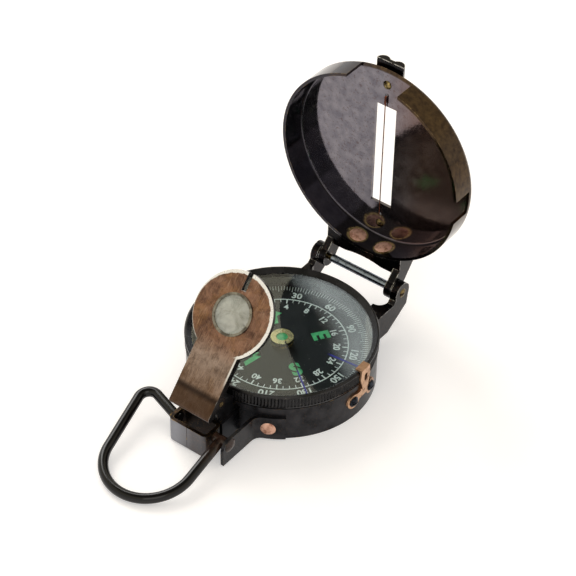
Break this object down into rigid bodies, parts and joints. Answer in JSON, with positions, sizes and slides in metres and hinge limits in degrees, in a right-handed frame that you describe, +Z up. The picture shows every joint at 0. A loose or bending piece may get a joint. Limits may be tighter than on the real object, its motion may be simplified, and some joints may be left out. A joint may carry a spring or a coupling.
{
  "type": "lensatic compass",
  "caption": "Pocket sighting compass: round case with a turning knurled bezel and floating card, hinged lid with a sighting wire, folding lens plate and thumb ring.",
  "frame": {"origin": "centre of the case's flat underside", "axes": "+Z up, +Y along the line of sight from the thumb ring towards the lid hinge, +X to the right, where the bezel spring is"},
  "size_m": [0.059, 0.114, 0.0797],
  "materials": {
    "dark_patina": "oil-black patina over brass, semi-gloss, brass at the worn edges",
    "lid_patina": "plum-black patina over brass, semi-gloss",
    "knurled_patina": "satin black, knurled",
    "bronze_plate": "mottled brown bronze, worn bright at the edges",
    "bright_brass": "turned brass, polished",
    "bare_copper": "bare hammered copper",
    "spring_copper": "worn copper sheet",
    "blued_steel": "blued steel",
    "nickel_rim": "bright nickel, turned",
    "spring_steel": "bright wire",
    "magnet_steel": "plain magnet steel",
    "ring_black": "gloss black over steel wire",
    "clear_glass": "flat window glass",
    "lens_glass": "ground lens glass",
    "card_black": "matt black dial",
    "print_white": "white dial print",
    "letter_green": "pale green luminous paint",
    "line_blue": "dark blue enamel line",
    "jewel_red": "polished bearing jewel"
  },
  "bodies": {
    "body": {"case": "dark_patina", "bezel_snap_ring": "spring_steel", "pivot_post": "bright_brass", "hinge_bracket": "dark_patina", "hinge_bracket_rivets": "bare_copper", "hinge_pin": "bright_brass", "hinge_spacer": "blued_steel", "strap_loop": "dark_patina", "ring_strap": "dark_patina", "strap_rivet": "bare_copper", "lens_hinge_block": "dark_patina", "lens_hinge_pin": "bright_brass", "bezel_spring": "spring_copper", "spring_screws": "blued_steel"},
    "bezel": {"bezel_ring": "knurled_patina", "window_glass": "clear_glass", "glass_seat_ring": "dark_patina", "bearing_lines": "line_blue"},
    "card": {"compass_card": "card_black", "dial_scale": "print_white", "card_letters": "letter_green", "card_magnet": "magnet_steel", "pivot_cap": "bright_brass", "pivot_jewel": "jewel_red", "cap_dot": "letter_green"},
    "lid": {"lid_shell": "lid_patina", "lid_hinge_strap": "dark_patina", "lid_rivets": "bare_copper", "sight_wire": "bare_copper", "wire_pins": "bright_brass", "lid_catch": "dark_patina"},
    "lens_bracket": {"lens_plate": "bronze_plate", "lens_cell": "nickel_rim", "lens": "lens_glass"},
    "thumb_ring": {"thumb_ring": "ring_black"}
  },
  "joints": [
    {"name": "lid_hinge", "type": "hinge", "parent": "body", "child": "lid", "pos_m": [0, 0.0362, 0.0124], "axis": [1, 0, 0], "range_deg": [-30, 90]},
    {"name": "lens_fold", "type": "hinge", "parent": "body", "child": "lens_bracket", "pos_m": [-0.0011, -0.0338, 0.016], "axis": [-1, 0, 0], "range_deg": [-16, 48]},
    {"name": "ring_swing", "type": "hinge", "parent": "body", "child": "thumb_ring", "pos_m": [0, -0.0365, 0.006], "axis": [-1, 0, 0], "range_deg": [-60, 95]},
    {"name": "bezel_turn", "type": "hinge", "parent": "body", "child": "bezel", "pos_m": [0, 0, 0.014], "axis": [0, 0, 1], "continuous": true},
    {"name": "card_turn", "type": "hinge", "parent": "body", "child": "card", "pos_m": [0, 0, 0.011], "axis": [0, 0, 1], "continuous": true}
  ],
  "couplings": [
    {"joint": "lens_fold", "follows": "lid_hinge", "ratio": 0.53333}
  ]
}
